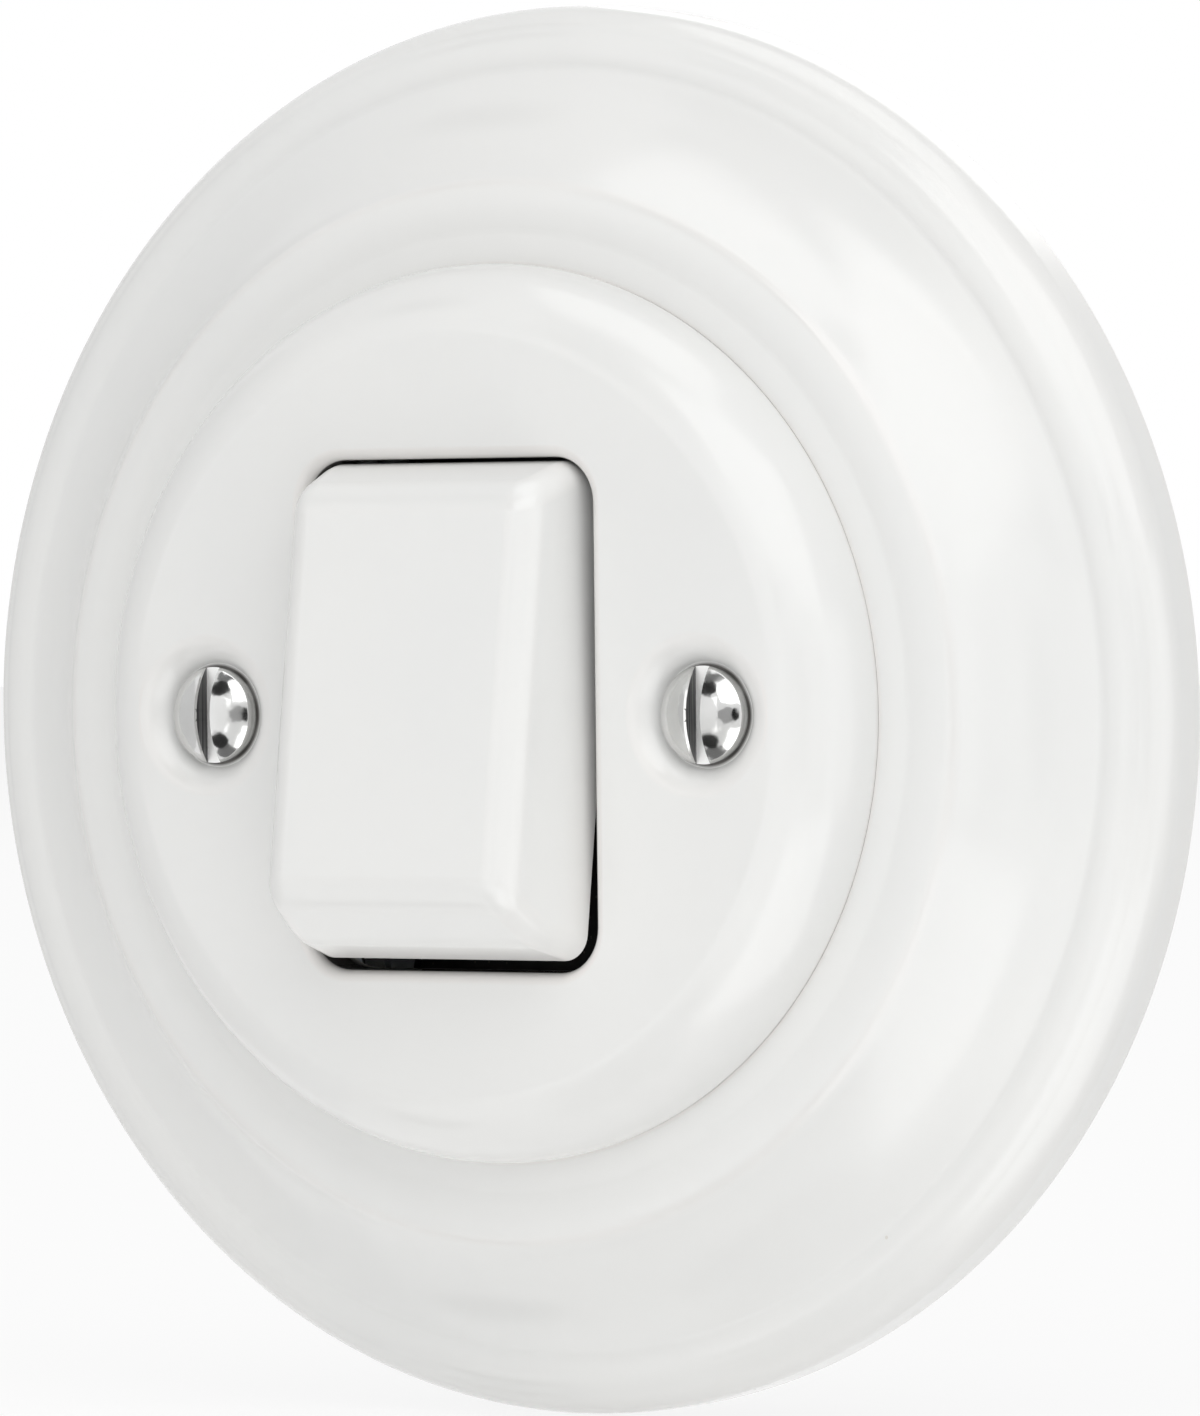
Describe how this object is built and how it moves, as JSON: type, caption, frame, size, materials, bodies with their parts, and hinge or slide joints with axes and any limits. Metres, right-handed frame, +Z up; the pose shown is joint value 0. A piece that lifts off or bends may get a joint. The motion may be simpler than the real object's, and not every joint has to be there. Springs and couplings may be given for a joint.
{
  "type": "porcelain light switch",
  "caption": "Round white porcelain rocker light switch: moulded frame, screwed cover disc and rocker, on a flush insert with plunger, tilting contact arm and terminals.",
  "frame": {"origin": "centre of the switch on the wall plane, which is the back of the support plate and of the frame's foot", "axes": "+X to the right, +Z up, the front faces -Y, so +Y points into the wall"},
  "size_m": [0.1, 0.0423, 0.1],
  "materials": {
    "porcelain": "white glossy glaze",
    "nickel": "polished nickel plate",
    "zinc_steel": "zinc plated",
    "insulator": "black moulding",
    "brass": "plain brass",
    "silver": "satin silver",
    "spring_steel": "drawn wire"
  },
  "bodies": {
    "insert": {"outer_frame": "porcelain", "cover_disc": "porcelain", "cover_screws": "nickel", "support_plate": "zinc_steel", "screw_pillars": "brass", "switch_base": "insulator", "bearing_frame": "insulator", "base_screws": "zinc_steel", "pivot_pin": "zinc_steel", "fixed_contact_tips": "silver", "upper_contact_strip": "brass", "lower_contact_strip": "brass", "contact_saddle": "brass", "upper_terminal": "brass", "lower_terminal": "brass", "common_terminal": "brass", "terminal_screws": "zinc_steel"},
    "rocker": {"rocker_cap": "porcelain", "rocker_carrier": "insulator", "plunger_spring": "spring_steel"},
    "plunger": {"plunger": "brass"},
    "contact_arm": {"contact_rocker": "brass", "moving_contact_tips": "silver"}
  },
  "joints": [
    {"name": "rocker_tilt", "type": "hinge", "parent": "insert", "child": "rocker", "pos_m": [0, -0.0143, 0], "axis": [1, 0, 0], "range_deg": [0, 16]},
    {"name": "plunger_slide", "type": "slide", "parent": "rocker", "child": "plunger", "axis": [0, -0.9903, 0.1392], "range_m": [0, 0.001], "stiffness_N_per_m": 500, "springref_m": -0.002, "deforming": ["plunger_spring"]},
    {"name": "contact_tilt", "type": "hinge", "parent": "insert", "child": "contact_arm", "pos_m": [0, -0.00068, 0], "axis": [1, 0, 0], "range_deg": [-16, 0]}
  ],
  "couplings": [
    {"joint": "contact_tilt", "follows": "rocker_tilt", "ratio": -1}
  ]
}
